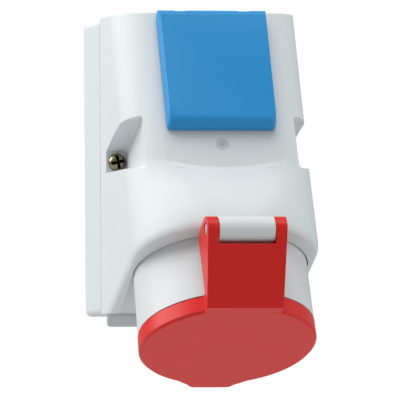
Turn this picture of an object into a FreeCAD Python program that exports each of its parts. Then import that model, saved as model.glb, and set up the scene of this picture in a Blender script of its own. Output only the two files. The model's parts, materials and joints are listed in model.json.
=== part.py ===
import FreeCAD, Part
import math
import os

from FreeCAD import Placement, Rotation, Vector

# Wall-mounted combination socket outlet: a back box, a sloping front cover, an angled five-pole
# industrial socket with a sprung red lid below, and a side-earth domestic socket under a sprung
# blue lid on the front panel. Millimetres. X runs right as seen from the front, Z up, and the
# wall is the plane Y = 0 with the object on its -Y side. The origin is the centre of the four
# wall-fixing holes.
#
# Two frames are used. The box frame gives x, "out" (forward of the wall) and "up" (height).
# The socket frame is tilted with the industrial socket: its "up" runs along the socket's axis
# from the face of the closed red lid, and its "out" is square to the front panel.

# Back box
box_width = 90.0
box_height = 142.0
box_depth = 37.2
box_wall = 2.5
box_back = 3.0
box_corner = 3.0
lip_drop = 6.0
lip_thickness = 3.0
lip_side_inset = 3.1
lip_corner = 2.0

# Wall-fixing holes, in the back
fixing_across = 60.0
fixing_height = 116.0
fixing_radius = 2.6
fixing_pad_radius = 6.5
fixing_pad_height = 3.0

# Cable entries: an open bore in the top wall and a sealed one in the back
entry_radius = 12.6
entry_wall = 3.0
entry_depth = 9.0
entry_out = 19.0
rear_entry_radius = 11.0
rear_entry_up = 40.0
grommet_lip = 2.5
grommet_lip_thickness = 1.2
membrane = 1.0

# Seal between box and cover
seam_gasket = 0.8
seam_gasket_inset = 0.6

# Socket axis: its tilt from the vertical and the centre of the red lid's face
tilt = 23.57
lid_face_out = 115.9
lid_face_up = -89.2

# Cover
cover_wall = 2.8
cover_top_rise = 1.2
cover_top_edge = 1.3
panel_out = 31.0
panel_corner = 18.0
brow_up = 87.0
hood_front = 47.5
hood_corner = 34.5
hood_sections = 6
rim_up = 40.0
rim_edge_rise = 4.5
rim_edge_inset = 2.2
rim_sections = 5
leg_taper = 0.039
arch_flat = 0.1

# Flat field below the blue lid, cut into the brow with a sloping arched ledge
field_half = 28.0
field_arc_end_up = 82.6
field_arc_mid_up = 78.7
field_slope_height = 12.0
gate_mark_radius = 3.0
gate_mark_depth = 0.35
gate_mark_up = 89.7

# Side pockets of the cover screws, in the box frame
pocket_reach = 10.0
pocket_wall_lean = 0.037
pocket_edge = 2.0
pocket_floor_out = 51.0
pocket_bottom_up = -3.6
pocket_floor_top_up = 6.5
pocket_mid_out = 72.0
pocket_mid_up = 14.6
pocket_front_out = 99.0
pocket_front_up = 22.0

# Cover screws, their pillars and bores
cover_screw_inset = 5.4
cover_screw_up = 1.6
cover_screw_radius = 2.0
cover_screw_head = 4.3
cover_screw_head_height = 3.4
cover_screw_length = 26.0
pillar_radius = 4.2
pillar_floor = 2.0
screw_play = 0.1
play = 0.3
pin_fit = 0.02
head_round_share = 0.45
slot_share = 0.16
slot_reach_share = 0.62
slot_floor_share = 0.4

# Industrial socket collar
collar_top_radius = 41.3
collar_low_radius = 42.1
collar_bore_radius = 37.5
collar_bottom_up = 9.2
neck_radius = 39.9
neck_bottom_up = 4.8
ring_floor_up = 44.0
flange_under_up = 48.0
flange_top_up = 51.0
opening_half = 42.0
keyway_half = 3.5
keyway_depth = 1.2

# Seal and screws between collar and cover
socket_gasket = 1.2
deck = 3.0
socket_screw_circle = 35.0
socket_screw_radius = 1.75
socket_screw_head = 3.4
socket_screw_head_height = 2.2
socket_screw_length = 8.5
socket_screw_bore = 5.5

# Contact carrier of the industrial socket
carrier_radius = 29.0
carrier_front_up = 10.0
carrier_shoulder = 3.0
carrier_rear_radius = 28.0
carrier_rear_up = 70.0
contact_circle = 18.5
contact_step = 72.0
contact_count = 5
phase_bore = 2.55
earth_bore = 3.55
contact_wall = 1.35
contact_front_up = 13.0
contact_rear_up = 67.0
contact_bore_depth = 36.0
wire_bore = 2.3
wire_bore_depth = 13.0
terminal_up = 61.0
terminal_radius = 1.75
terminal_head = 2.4
terminal_tip_gap = 0.5
terminal_overlap = 0.5
terminal_head_gap = 0.4
terminal_sink = 0.5

# Red lid
lid_radius = 42.5
lid_skin = 2.5
lid_rim_up = 8.5
lid_edge = 1.2
lid_rim_draft = 0.2
lid_inner_radius = 40.5
lid_seal_width = 3.4
lid_seal_height = 2.0
tab_half = 10.5
tab_reach = 6.0
tab_thickness = 3.2
tab_corner = 3.0
tab_flare = 7.0

# Hinge of the red lid
hinge_out = 58.5
hinge_up = 33.7
barrel_radius = 6.15
barrel_half = 13.5
hinge_pin_radius = 2.6
hinge_play = 0.05
hinge_side_play = 0.25
spring_room_radius = 4.2
spring_room_half = 11.0
lug_low_up = 28.5
lug_high_up = 38.4
ear_radius = 6.2
arm_half_top = 19.2
arm_half_low = 18.5
arm_skin = 3.0
arm_foot_reach = 0.7
arm_back_reach = 0.1
arm_back_up = 35.4
arm_shoulder_reach = 2.5
arm_shoulder_up = 38.6
window_up = 25.6
pin_dish_radius = 3.3
pin_dish_depth = 0.6
pin_proud = 0.3

# Spring of the red lid
spring_wire = 0.45
spring_mean = 3.35
spring_pitch = 1.3
spring_turns = 5
spring_shift = 4.0
spring_leg_up = 23.8

# Domestic socket insert, on the front panel
insert_centre_up = 129.0
insert_half = 24.3
insert_drop = 25.0
insert_rise = 24.0
insert_corner = 4.0
insert_flange = 2.0
insert_gasket = 0.8
cup_radius = 21.5
cup_wall = 2.0
cup_depth = 16.0
cup_floor = 2.5
cup_play = 0.3
guide_rib_half = 2.5
guide_rib_height = 2.2
guide_rib_step = 1.0
pin_spacing = 19.0
pin_hole = 2.9
insert_screw_x = 20.8
insert_screw_rise = 21.0
insert_screw_radius = 1.5
insert_screw_head = 2.7
insert_screw_head_height = 1.6
insert_screw_length = 9.0
insert_boss_radius = 3.4
insert_boss_height = 7.0

# Carrier, contacts and earth clip of the domestic socket
rear_radius = 20.5
rear_depth = 17.0
rear_contact_radius = 3.6
rear_contact_bore = 2.45
rear_contact_front_gap = 0.5
rear_contact_length = 15.0
rear_contact_bore_depth = 11.0
rear_screw_radius = 1.5
rear_screw_head = 2.8
rear_screw_head_height = 1.8
rear_screw_length = 4.0
clip_half = 4.0
clip_sheet = 1.0
clip_reach = 20.0
clip_rise = 11.5
clip_bend = 1.6
clip_neck = 5.0
clip_nose = 2.0
centre_screw_radius = 1.6
centre_screw_head = 3.2
centre_screw_head_height = 1.5
centre_screw_length = 13.0

# Blue lid and its hinge
blue_half = 26.4
blue_draft = 0.7
blue_low_up = 100.3
blue_low_draft = 3.7
blue_high_up = 161.0
blue_front_reach = 7.8
blue_field_gap = 0.5
blue_corner = 1.8
blue_face_corner = 5.5
blue_edge_sections = 4
blue_overrun = 5.0
blue_top_corner = 1.0
blue_skin = 1.5
blue_end_radius = 3.7
blue_knuckle_radius = 3.5
blue_ear_notch = 1.2
blue_spring_notch = 1.0
blue_top_notch = 2.5
blue_pin_radius = 1.0
blue_pin_half = 21.5
blue_lug_inner = 13.0
blue_lug_outer = 18.0
blue_lug_over = 0.4
blue_lug_radius = 1.9
blue_room_radius = 2.2
blue_spring_half = 9.0
blue_spring_wire = 0.3
blue_spring_mean = 1.5
blue_spring_pitch = 0.9
blue_spring_turns = 7
blue_spring_leg = 9.0
blue_seal_outer = 23.3
blue_seal_inner = 21.8

# Worked out from the sizes above
half_width = box_width / 2
box_bottom = -box_height / 2
box_top = box_height / 2
seam_out = box_depth + seam_gasket
field_out = panel_out
cover_screw_x = half_width - cover_screw_inset
pocket_inner_x = half_width - pocket_reach
arm_foot_out = lid_radius + arm_foot_reach
arm_back_out = lid_radius + arm_back_reach
arm_shoulder_out = lid_radius + arm_shoulder_reach
insert_low_up = insert_centre_up - insert_drop
insert_high_up = insert_centre_up + insert_rise
blue_front_out = field_out + blue_front_reach
cover_top = box_top + cover_top_rise
deck_under_up = flange_top_up + socket_gasket
deck_top_up = deck_under_up + deck
insert_under_out = field_out + insert_gasket
insert_front_out = insert_under_out + insert_flange
cup_floor_out = insert_front_out - cup_depth
cup_back_out = cup_floor_out - cup_floor
rear_back_out = cup_back_out - rear_depth
blue_pin_out = blue_front_out - blue_end_radius
blue_pin_up = blue_high_up - blue_end_radius
blue_back_out = field_out + blue_field_gap
phase_sleeve = phase_bore + contact_wall
earth_sleeve = earth_bore + contact_wall
FAR = 200.0
overcut = 1.0
tiny = 0.01

SOCKET_FRAME = Placement(Vector(0, -lid_face_out, lid_face_up), Rotation(Vector(1, 0, 0), -tilt))


def tilted(shape):
    """Move a shape drawn in the socket frame into the box frame."""
    moved = shape.copy()
    moved.Placement = SOCKET_FRAME.multiply(shape.Placement)
    return moved


def point(x, out, up):
    return Vector(x, -out, up)


def block(x0, x1, out0, out1, up0, up1):
    return Part.makeBox(x1 - x0, out1 - out0, up1 - up0, point(x0, out1, up0))


def disc(radius, up0, up1, x=0.0, out=0.0):
    """A cylinder along the up direction."""
    return Part.makeCylinder(radius, up1 - up0, point(x, out, up0))


def peg(radius, out0, out1, x, up):
    """A cylinder along the out direction."""
    return Part.makeCylinder(radius, out1 - out0, point(x, out0, up), Vector(0, -1, 0))


def crossbar(radius, x0, x1, out, up):
    """A cylinder along the x direction."""
    return Part.makeCylinder(radius, x1 - x0, point(x0, out, up), Vector(1, 0, 0))


def polygon_wire(points):
    return Part.makePolygon(points + [points[0]])


def side_prism(profile, x0, x1):
    """Carry an outline of (out, up) corners from x0 to x1."""
    face = Part.Face(polygon_wire([point(x0, out, up) for out, up in profile]))
    return face.extrude(Vector(x1 - x0, 0, 0))


def turned(profile):
    """Turn a closed outline of (radius, up) corners round the up axis."""
    face = Part.Face(polygon_wire([Vector(radius, 0, up) for radius, up in profile]))
    return face.revolve(Vector(0, 0, 0), Vector(0, 0, 1), 360)


def mirrored(shape):
    return shape.mirror(Vector(0, 0, 0), Vector(1, 0, 0))


def both_sides(shape):
    return [shape, mirrored(shape)]


def arch_wire(half, back, front, corner, up):
    """A section square to the up axis: straight sides, a flat front and two round front corners."""
    bend = corner * (1 - math.sqrt(0.5))
    shoulder = front - corner
    flat = half - corner
    return Part.Wire([
        Part.LineSegment(point(half, back, up), point(-half, back, up)).toShape(),
        Part.LineSegment(point(-half, back, up), point(-half, shoulder, up)).toShape(),
        Part.Arc(point(-half, shoulder, up), point(-half + bend, front - bend, up),
                 point(-flat, front, up)).toShape(),
        Part.LineSegment(point(-flat, front, up), point(flat, front, up)).toShape(),
        Part.Arc(point(flat, front, up), point(half - bend, front - bend, up),
                 point(half, shoulder, up)).toShape(),
        Part.LineSegment(point(half, shoulder, up), point(half, back, up)).toShape(),
    ])


def arch_prism(half, back, front, corner, up0, up1):
    face = Part.Face(arch_wire(half, back, front, corner, up0))
    return face.extrude(Vector(0, 0, up1 - up0))


def plate_wire(half, low, high, low_corner, high_corner, out):
    """A rounded rectangle in the plane of the front panel."""
    low_bend = low_corner * (1 - math.sqrt(0.5))
    high_bend = high_corner * (1 - math.sqrt(0.5))
    return Part.Wire([
        Part.LineSegment(point(-half + low_corner, out, low), point(half - low_corner, out, low)).toShape(),
        Part.Arc(point(half - low_corner, out, low), point(half - low_bend, out, low + low_bend),
                 point(half, out, low + low_corner)).toShape(),
        Part.LineSegment(point(half, out, low + low_corner), point(half, out, high - high_corner)).toShape(),
        Part.Arc(point(half, out, high - high_corner), point(half - high_bend, out, high - high_bend),
                 point(half - high_corner, out, high)).toShape(),
        Part.LineSegment(point(half - high_corner, out, high), point(-half + high_corner, out, high)).toShape(),
        Part.Arc(point(-half + high_corner, out, high), point(-half + high_bend, out, high - high_bend),
                 point(-half, out, high - high_corner)).toShape(),
        Part.LineSegment(point(-half, out, high - high_corner), point(-half, out, low + low_corner)).toShape(),
        Part.Arc(point(-half, out, low + low_corner), point(-half + low_bend, out, low + low_bend),
                 point(-half + low_corner, out, low)).toShape(),
    ])


def plate(half, low, high, corner, out0, out1):
    face = Part.Face(plate_wire(half, low, high, corner, corner, out0))
    return face.extrude(Vector(0, out0 - out1, 0))


def edges_where(shape, test):
    return [edge for edge in shape.Edges if test(edge)]


def coil_spring(mean, wire, pitch, turns, x0, out, up):
    """A helical spring along x, wound from the point straight out of its axis."""
    helix = Part.makeHelix(pitch, pitch * turns, mean)
    profile = Part.Wire([Part.makeCircle(wire, Vector(mean, 0, 0), Vector(0, 1, 0))])
    coil = Part.Wire(helix.Edges).makePipeShell([profile], True, True)
    coil.Placement = Placement(point(x0, out, up), Rotation(Vector(0, 1, 0), 90))
    return coil


def pan_screw(head, head_height, radius, length):
    """A screw along the up axis: its head's underside at 0, head above, shank below."""
    top = Part.makeCylinder(head, head_height, Vector(0, 0, 0))
    rim = edges_where(top, lambda edge: edge.BoundBox.ZMin > head_height - tiny)
    top = top.makeFillet(head_height * head_round_share, rim)
    shank = Part.makeCylinder(radius, length, Vector(0, 0, -length))
    screw = top.fuse(shank)
    slot = head * slot_share
    reach = head * slot_reach_share
    floor = head_height * slot_floor_share
    for spin in (0, 90):
        cut = Part.makeBox(2 * reach, 2 * slot, head_height, Vector(-reach, -slot, floor))
        cut.rotate(Vector(0, 0, 0), Vector(0, 0, 1), spin + 45)
        screw = screw.cut(cut)
    return screw.removeSplitter()


def screw_out(screw, x, out, up):
    """Place a screw whose head looks out of the panel."""
    placed = screw.copy()
    placed.Placement = Placement(point(x, out, up), Rotation(Vector(1, 0, 0), 90))
    return placed


# Back box


def fixing_points():
    across = fixing_across / 2
    height = fixing_height / 2
    return [(x, up) for x in (-across, across) for up in (-height, height)]


def box_body():
    outline = block(-half_width, half_width, 0, box_depth, box_bottom, box_top)
    corners = edges_where(outline, lambda edge: edge.BoundBox.YLength > box_depth / 2)
    outline = outline.makeFillet(box_corner, corners)
    inner_half = half_width - box_wall
    hollow = block(-inner_half, inner_half, box_back, FAR, box_bottom + box_wall, box_top - box_wall)
    return outline.cut(hollow)


def front_lip():
    """The tongue that hangs below the box at its front edge and closes the gap under the cover."""
    half = half_width - lip_side_inset
    low = box_bottom - lip_drop
    high = box_bottom + lip_drop
    return plate(half, low, high, lip_corner, box_depth - lip_thickness, box_depth)


def screw_pillar():
    top = pocket_floor_out - cover_wall - play
    pillar = peg(pillar_radius, box_back, top, cover_screw_x, cover_screw_up)
    beyond = block(half_width - box_wall, FAR, -1, box_depth, box_bottom, box_top)
    past_seam = block(half_width - cover_wall - play, FAR, box_depth, FAR, box_bottom, box_top)
    return pillar.cut(beyond).cut(past_seam)


def cable_boss():
    return disc(entry_radius + entry_wall, box_top - entry_depth, box_top, 0, entry_out)


def make_base():
    body = box_body().fuse(front_lip()).fuse(both_sides(screw_pillar()))
    boss = cable_boss().common(block(-FAR, FAR, 0, box_depth, -FAR, FAR))
    body = body.fuse(boss)
    for x, up in fixing_points():
        body = body.fuse(peg(fixing_pad_radius, 0, box_back + fixing_pad_height, x, up))
    for x, up in fixing_points():
        body = body.cut(peg(fixing_radius, -overcut, box_depth, x, up))
    body = body.cut(disc(entry_radius, box_top - entry_depth - overcut, FAR, 0, entry_out))
    body = body.cut(peg(rear_entry_radius, -overcut, box_depth, 0, -rear_entry_up))
    bore = peg(cover_screw_radius + screw_play, box_back + pillar_floor, FAR, cover_screw_x, cover_screw_up)
    return body.cut(both_sides(bore)).removeSplitter()


def make_rear_grommet():
    """A rubber membrane that snaps into the rear cable entry, flush with the wall side."""
    neck = peg(rear_entry_radius, 0, box_back, 0, -rear_entry_up)
    lip_top = box_back + grommet_lip_thickness
    lip = peg(rear_entry_radius + grommet_lip, box_back, lip_top, 0, -rear_entry_up)
    dish = peg(rear_entry_radius - grommet_lip, membrane, FAR, 0, -rear_entry_up)
    return neck.fuse(lip).cut(dish).removeSplitter()


def make_cover_gasket():
    outer_half = half_width - seam_gasket_inset
    inner_half = half_width - box_wall
    low = box_bottom + seam_gasket_inset
    high = box_top - seam_gasket_inset
    ring = plate(outer_half, low, high, box_corner, box_depth, seam_out)
    hollow = block(-inner_half, inner_half, 0, FAR, box_bottom + box_wall, box_top - box_wall)
    return ring.cut(hollow)


# Cover


def hood_loft(thin, low_up):
    """The swelling from the flat panel down to the rim, through sections down the axis, all moved
    inwards by thin."""
    sections = []
    for step in range(hood_sections):
        share = step / (hood_sections - 1)
        swell = share * share * (3 - 2 * share)
        front = panel_out + (hood_front - panel_out) * swell
        corner = panel_corner + (hood_corner - panel_corner) * swell
        up = brow_up + (low_up - brow_up) * share
        sections.append(arch_wire(half_width - thin, -FAR, front - thin, corner - thin, up))
    return Part.makeLoft(sections, True, False)


def rim_loft():
    """The rounded lower edge of the hood, a quarter of an ellipse down to the flat rim."""
    sections = []
    for step in range(rim_sections):
        angle = math.pi / 2 * step / (rim_sections - 1)
        inset = rim_edge_inset * (1 - math.cos(angle))
        up = rim_up + rim_edge_rise * (1 - math.sin(angle))
        sections.append(arch_wire(half_width - inset, -FAR, hood_front - inset, hood_corner - inset, up))
    return Part.makeLoft(sections, True, False)


def cover_outside():
    """The sloping panel above the brow and the hood with its field, cut off by the box's planes."""
    hood = hood_loft(0, rim_up + rim_edge_rise).cut(brow_field())
    upper = arch_prism(half_width, -FAR, panel_out, panel_corner, brow_up, FAR)
    whole = tilted(hood.fuse([upper, rim_loft()]))
    whole = whole.common(block(-FAR, FAR, seam_out, FAR, box_bottom, cover_top))
    top = edges_where(whole, lambda edge: edge.BoundBox.ZMin > cover_top - tiny)
    return whole.makeFillet(cover_top_edge, top)


def cover_cavity():
    """The room inside, above the deck that carries the industrial socket."""
    hood = hood_loft(cover_wall, rim_up + rim_edge_rise)
    upper = arch_prism(half_width - cover_wall, -FAR, panel_out - cover_wall, panel_corner - cover_wall,
                       brow_up, FAR)
    above_deck = block(-FAR, FAR, -FAR, FAR, deck_top_up, FAR)
    room = tilted(hood.fuse(upper).common(above_deck))
    return room.common(block(-FAR, FAR, 0, FAR, box_bottom, cover_top - cover_wall))


def mouth_prism(shrink, up0, up1):
    """The arched mouth: half round in front, with legs that close in a little towards the wall."""
    half = opening_half - shrink
    arch = arch_prism(half, -FAR, half, half - arch_flat, up0, up1)
    legs = [Vector(half, 0, up0), Vector(half - leg_taper * FAR, FAR, up0),
            Vector(-half + leg_taper * FAR, FAR, up0), Vector(-half, 0, up0),
            Vector(-half, -FAR, up0), Vector(half, -FAR, up0)]
    return arch.common(Part.Face(polygon_wire(legs)).extrude(Vector(0, 0, up1 - up0)))


def socket_opening():
    """The arched mouth under the cover, up to the deck."""
    return tilted(mouth_prism(0, 0, deck_under_up))


def field_wire(out):
    rise = out - field_out
    half = field_half + rise / 4
    end = field_arc_end_up - rise
    middle = point(0, out, field_arc_mid_up - rise)
    return Part.Wire([
        Part.Arc(point(-half, out, end), middle, point(half, out, end)).toShape(),
        Part.LineSegment(point(half, out, end), point(half, out, FAR)).toShape(),
        Part.LineSegment(point(half, out, FAR), point(-half, out, FAR)).toShape(),
        Part.LineSegment(point(-half, out, FAR), point(-half, out, end)).toShape(),
    ])


def brow_field():
    """The room above the field, with its sloping ledge, to cut from the hood."""
    return Part.makeLoft([field_wire(field_out), field_wire(field_out + field_slope_height)], True, True)


def pocket(grow):
    """The scooped pocket of the right cover screw, or with grow the wall round it. Its inner wall leans
    outwards as it comes forward."""
    x0 = pocket_inner_x - grow
    floor = pocket_floor_out - grow
    low = pocket_bottom_up - grow
    start = point(x0, floor, low)
    corner = point(x0, floor, pocket_floor_top_up + grow)
    middle = point(x0, pocket_mid_out - grow / 2, pocket_mid_up + grow)
    edge = point(x0, pocket_front_out, pocket_front_up + grow)
    outline = Part.Wire([
        Part.LineSegment(start, corner).toShape(),
        Part.Arc(corner, middle, edge).toShape(),
        Part.LineSegment(edge, point(x0, FAR, pocket_front_up + grow)).toShape(),
        Part.LineSegment(point(x0, FAR, pocket_front_up + grow), point(x0, FAR, low)).toShape(),
        Part.LineSegment(point(x0, FAR, low), start).toShape(),
    ])
    scoop = Part.Face(outline).extrude(Vector(FAR, 0, 0))
    far_x = x0 + pocket_wall_lean * (FAR - floor)
    lean = [Vector(x0, -floor, -FAR), Vector(far_x, -FAR, -FAR), Vector(FAR, -FAR, -FAR),
            Vector(FAR, -floor, -FAR)]
    scoop = scoop.common(Part.Face(polygon_wire(lean)).extrude(Vector(0, 0, 2 * FAR)))
    return scoop if grow else round_inner_edges(scoop, far_x)


def round_inner_edges(scoop, far_x):
    """Round the pocket's corners along its inner wall, but for the one at its floor."""
    inner = edges_where(scoop, lambda edge: edge.BoundBox.XMax < far_x + tiny
                        and edge.BoundBox.YLength > pocket_edge)
    return scoop.makeFillet(pocket_edge, inner)


def insert_screw_places():
    return [(x, insert_centre_up + rise) for x in (-insert_screw_x, insert_screw_x)
            for rise in (-insert_screw_rise, insert_screw_rise)]


def socket_screw_places():
    reach = socket_screw_circle * math.sqrt(0.5)
    return [(x, out) for x in (-reach, reach) for out in (-reach, reach)]


def insert_bosses():
    back = field_out - cover_wall - insert_boss_height
    bosses = [peg(insert_boss_radius, back, field_out - cover_wall / 2, x, up)
              for x, up in insert_screw_places()]
    return [tilted(boss) for boss in bosses]


def cover_holes():
    """Every round hole and mark in the cover."""
    radius = insert_screw_radius + screw_play / 2
    depth = field_out - insert_boss_height
    holes = [peg(radius, depth, field_out + overcut, x, up) for x, up in insert_screw_places()]
    holes.append(peg(cup_radius + cup_wall + cup_play, 0, field_out + overcut, 0, insert_centre_up))
    holes.append(peg(gate_mark_radius, field_out - gate_mark_depth, field_out + overcut, 0, gate_mark_up))
    holes.append(disc(carrier_rear_radius + play, deck_under_up - overcut, deck_top_up + overcut))
    screw = socket_screw_radius + screw_play
    holes += [disc(screw, deck_under_up - overcut, deck_top_up + overcut, x, out)
              for x, out in socket_screw_places()]
    return [tilted(hole) for hole in holes]


def make_cover():
    room = cover_cavity().cut(both_sides(pocket(cover_wall)))
    cover = cover_outside().cut([room, socket_opening()] + both_sides(pocket(0)))
    cover = cover.fuse(insert_bosses()).cut(cover_holes())
    bore = peg(cover_screw_radius + screw_play, 0, FAR, cover_screw_x, cover_screw_up)
    return cover.cut(both_sides(bore)).removeSplitter()


def make_cover_screws():
    screw = pan_screw(cover_screw_head, cover_screw_head_height, cover_screw_radius, cover_screw_length)
    right = screw_out(screw, cover_screw_x, pocket_floor_out, cover_screw_up)
    return Part.makeCompound(both_sides(right))


# Industrial socket


def flange_plate():
    """The collar's flange: it fills the arched mouth and ends at the box's front edge."""
    plate_part = mouth_prism(play, flange_under_up, flange_top_up)
    room = block(-FAR, FAR, seam_out + play, FAR, box_bottom + play, FAR)
    return tilted(plate_part).common(room)


def collar_tube():
    return turned([
        (collar_bore_radius, neck_bottom_up), (neck_radius, neck_bottom_up), (neck_radius, collar_bottom_up),
        (collar_low_radius, collar_bottom_up), (collar_top_radius, flange_under_up),
        (collar_top_radius, flange_top_up), (carrier_radius + play, flange_top_up),
        (carrier_radius + play, ring_floor_up), (collar_bore_radius, ring_floor_up),
    ])


def hinge_lug():
    """The knuckle that carries the lid's pin, with a chamber for the spring."""
    web = block(-barrel_half, barrel_half, collar_bore_radius, hinge_out, lug_low_up, lug_high_up)
    lug = web.fuse(crossbar(barrel_radius, -barrel_half, barrel_half, hinge_out, hinge_up))
    lug = lug.cut(crossbar(hinge_pin_radius + pin_fit, -FAR, FAR, hinge_out, hinge_up))
    chamber = crossbar(spring_room_radius, -barrel_half, spring_room_half, hinge_out, hinge_up)
    leg_out = hinge_out - spring_mean
    leg_half = spring_wire + play
    slot = block(-spring_room_half, 0, leg_out - leg_half, leg_out + leg_half, 0, hinge_up)
    return lug.cut([chamber, slot])


def make_socket_collar():
    collar = collar_tube().fuse(hinge_lug())
    collar = collar.cut(disc(collar_bore_radius, 0, ring_floor_up))
    keyway = block(-keyway_half, keyway_half, -collar_bore_radius - keyway_depth, 0, 0, ring_floor_up)
    bore_low = flange_top_up - socket_screw_bore
    holes = [keyway] + [disc(socket_screw_radius + screw_play / 2, bore_low, FAR, x, out)
                        for x, out in socket_screw_places()]
    collar = tilted(collar.cut(holes))
    flange = flange_plate().cut(tilted(disc(collar_top_radius - overcut, 0, FAR)))
    return collar.fuse(flange)


def make_socket_gasket():
    ring = mouth_prism(play, flange_top_up, deck_under_up)
    hole = disc(carrier_radius + carrier_shoulder + play, 0, FAR)
    screws = [disc(socket_screw_radius + screw_play, 0, FAR, x, out) for x, out in socket_screw_places()]
    room = block(-FAR, FAR, seam_out + play, FAR, -FAR, FAR)
    return tilted(ring.cut([hole] + screws)).common(room)


def make_socket_screws():
    screw = pan_screw(socket_screw_head, socket_screw_head_height, socket_screw_radius, socket_screw_length)
    placed = []
    for x, out in socket_screw_places():
        one = screw.copy()
        one.Placement = Placement(point(x, out, deck_top_up), Rotation())
        placed.append(tilted(one))
    return Part.makeCompound(placed)


def contact_places():
    """The earth contact sits nearest the wall, the others follow at equal steps."""
    places = []
    for step in range(contact_count):
        angle = math.radians(step * contact_step)
        places.append((contact_circle * math.sin(angle), -contact_circle * math.cos(angle)))
    return places


def contact_radii():
    return [(earth_sleeve, earth_bore)] + [(phase_sleeve, phase_bore)] * 4


def terminal_rod(radius, reach0, reach1, x, out):
    """A radial cylinder through a contact, measured from the socket's axis."""
    away = point(x, out, 0).normalize()
    start = Vector(away).multiply(reach0) + Vector(0, 0, terminal_up)
    return Part.makeCylinder(radius, reach1 - reach0, start, away)


def make_contact_carrier():
    carrier = disc(carrier_radius, carrier_front_up, flange_top_up)
    carrier = carrier.fuse(disc(carrier_radius + carrier_shoulder, flange_top_up, deck_under_up))
    carrier = carrier.fuse(disc(carrier_rear_radius, deck_under_up, carrier_rear_up))
    cuts = []
    for (x, out), (sleeve, bore) in zip(contact_places(), contact_radii()):
        cuts.append(disc(bore + play, 0, contact_front_up, x, out))
        cuts.append(disc(sleeve + hinge_play, contact_front_up, FAR, x, out))
        cuts.append(terminal_rod(terminal_head + play, contact_circle, FAR, x, out))
    return tilted(carrier.cut(cuts).removeSplitter())


def contact(index):
    x, out = contact_places()[index]
    sleeve, bore = contact_radii()[index]
    body = disc(sleeve, contact_front_up, contact_rear_up, x, out)
    socket = disc(bore, contact_front_up - overcut, contact_front_up + contact_bore_depth, x, out)
    wire = disc(wire_bore, contact_rear_up - wire_bore_depth, FAR, x, out)
    thread = terminal_rod(terminal_radius + hinge_play, contact_circle, FAR, x, out)
    return tilted(body.cut([socket, wire, thread]))


def make_terminal_screws():
    screws = []
    for (x, out), (sleeve, bore) in zip(contact_places(), contact_radii()):
        top = contact_circle + sleeve
        tip = contact_circle + terminal_tip_gap
        face = carrier_rear_radius - terminal_sink
        shank = terminal_rod(terminal_radius, tip, top + terminal_overlap, x, out)
        head = terminal_rod(terminal_head, top + terminal_head_gap, face, x, out)
        screws.append(tilted(shank.fuse(head)))
    return Part.makeCompound(screws)


# Red lid


def lid_shell():
    shell = turned([
        (0, 0), (lid_radius - lid_edge, 0), (lid_radius, lid_edge),
        (lid_radius - lid_rim_draft, lid_rim_up),
        (lid_inner_radius, lid_rim_up), (lid_inner_radius, lid_skin), (0, lid_skin),
    ])
    tab = arch_prism(tab_half, lid_radius - lid_edge - overcut, lid_radius + tab_reach, tab_corner, 0,
                     tab_thickness)
    tab.rotate(Vector(0, 0, 0), Vector(0, 0, 1), 180)
    return shell.fuse([tab, tab_root()])


def tab_root():
    """The flare that runs from the tab's sides into the lid's round edge."""
    edge = lid_radius - lid_edge
    wide = tab_half + tab_flare
    back = math.sqrt(edge ** 2 - wide ** 2)
    low = point(tab_half, -lid_radius - tab_reach / 2, 0)
    side = point(wide, -back, 0)
    middle = point(tab_half + tab_flare / 4, -lid_radius, 0)
    outline = Part.Wire([
        Part.Arc(side, middle, low).toShape(),
        Part.LineSegment(low, point(-low.x, -low.y, 0)).toShape(),
        Part.Arc(point(-low.x, -low.y, 0), point(-middle.x, -middle.y, 0),
                 point(-side.x, -side.y, 0)).toShape(),
        Part.LineSegment(point(-side.x, -side.y, 0), side).toShape(),
    ])
    root = Part.Face(outline).extrude(Vector(0, 0, tab_thickness))
    return root.cut(disc(lid_inner_radius, lid_skin, FAR))


def arm_front_tangent():
    """The point where the arm's front plane meets the rounded top of an ear."""
    reach_out = hinge_out - arm_foot_out
    length = math.hypot(reach_out, hinge_up)
    angle = math.atan2(hinge_up, reach_out) - math.asin(ear_radius / length)
    run = math.sqrt(length ** 2 - ear_radius ** 2)
    return arm_foot_out + run * math.cos(angle), run * math.sin(angle), angle


def cheek(x0, x1):
    """One side of the arm, with the ear at its top."""
    front_out, front_up, angle = arm_front_tangent()
    outline = [
        (arm_foot_out, 0), (front_out, front_up), (hinge_out, hinge_up + ear_radius),
        (arm_shoulder_out, arm_shoulder_up), (arm_back_out, arm_back_up), (arm_back_out, 0),
    ]
    return side_prism(outline, x0, x1).fuse(crossbar(ear_radius, x0, x1, hinge_out, hinge_up))


def arm_plate():
    front_out, front_up, angle = arm_front_tangent()
    back = arm_skin / math.sin(angle)
    lean = math.cos(angle) / math.sin(angle)
    outline = [
        (arm_foot_out, 0), (arm_foot_out + window_up * lean, window_up),
        (arm_foot_out + window_up * lean - back, window_up), (arm_foot_out - back, 0),
    ]
    return side_prism(outline, -arm_half_top, arm_half_top)


def arm_root():
    """Solid foot between the plate and the round rim."""
    lean = 1 / math.tan(arm_front_tangent()[2])
    root_out = lid_radius * math.sqrt(0.5)
    outline = [(arm_foot_out, 0), (arm_foot_out + lid_rim_up * lean, lid_rim_up),
               (root_out, lid_rim_up), (root_out, 0)]
    return side_prism(outline, -arm_half_top, arm_half_top).cut(disc(lid_radius - overcut, -overcut, FAR))


def arm_envelope():
    """The slight taper in width from hinge to lid."""
    outline = [
        Vector(-arm_half_low, 0, 0), Vector(arm_half_low, 0, 0),
        Vector(arm_half_top, 0, hinge_up), Vector(arm_half_top, 0, FAR),
        Vector(-arm_half_top, 0, FAR), Vector(-arm_half_top, 0, hinge_up),
    ]
    return Part.Face(polygon_wire(outline)).extrude(Vector(0, -FAR, 0))


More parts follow.
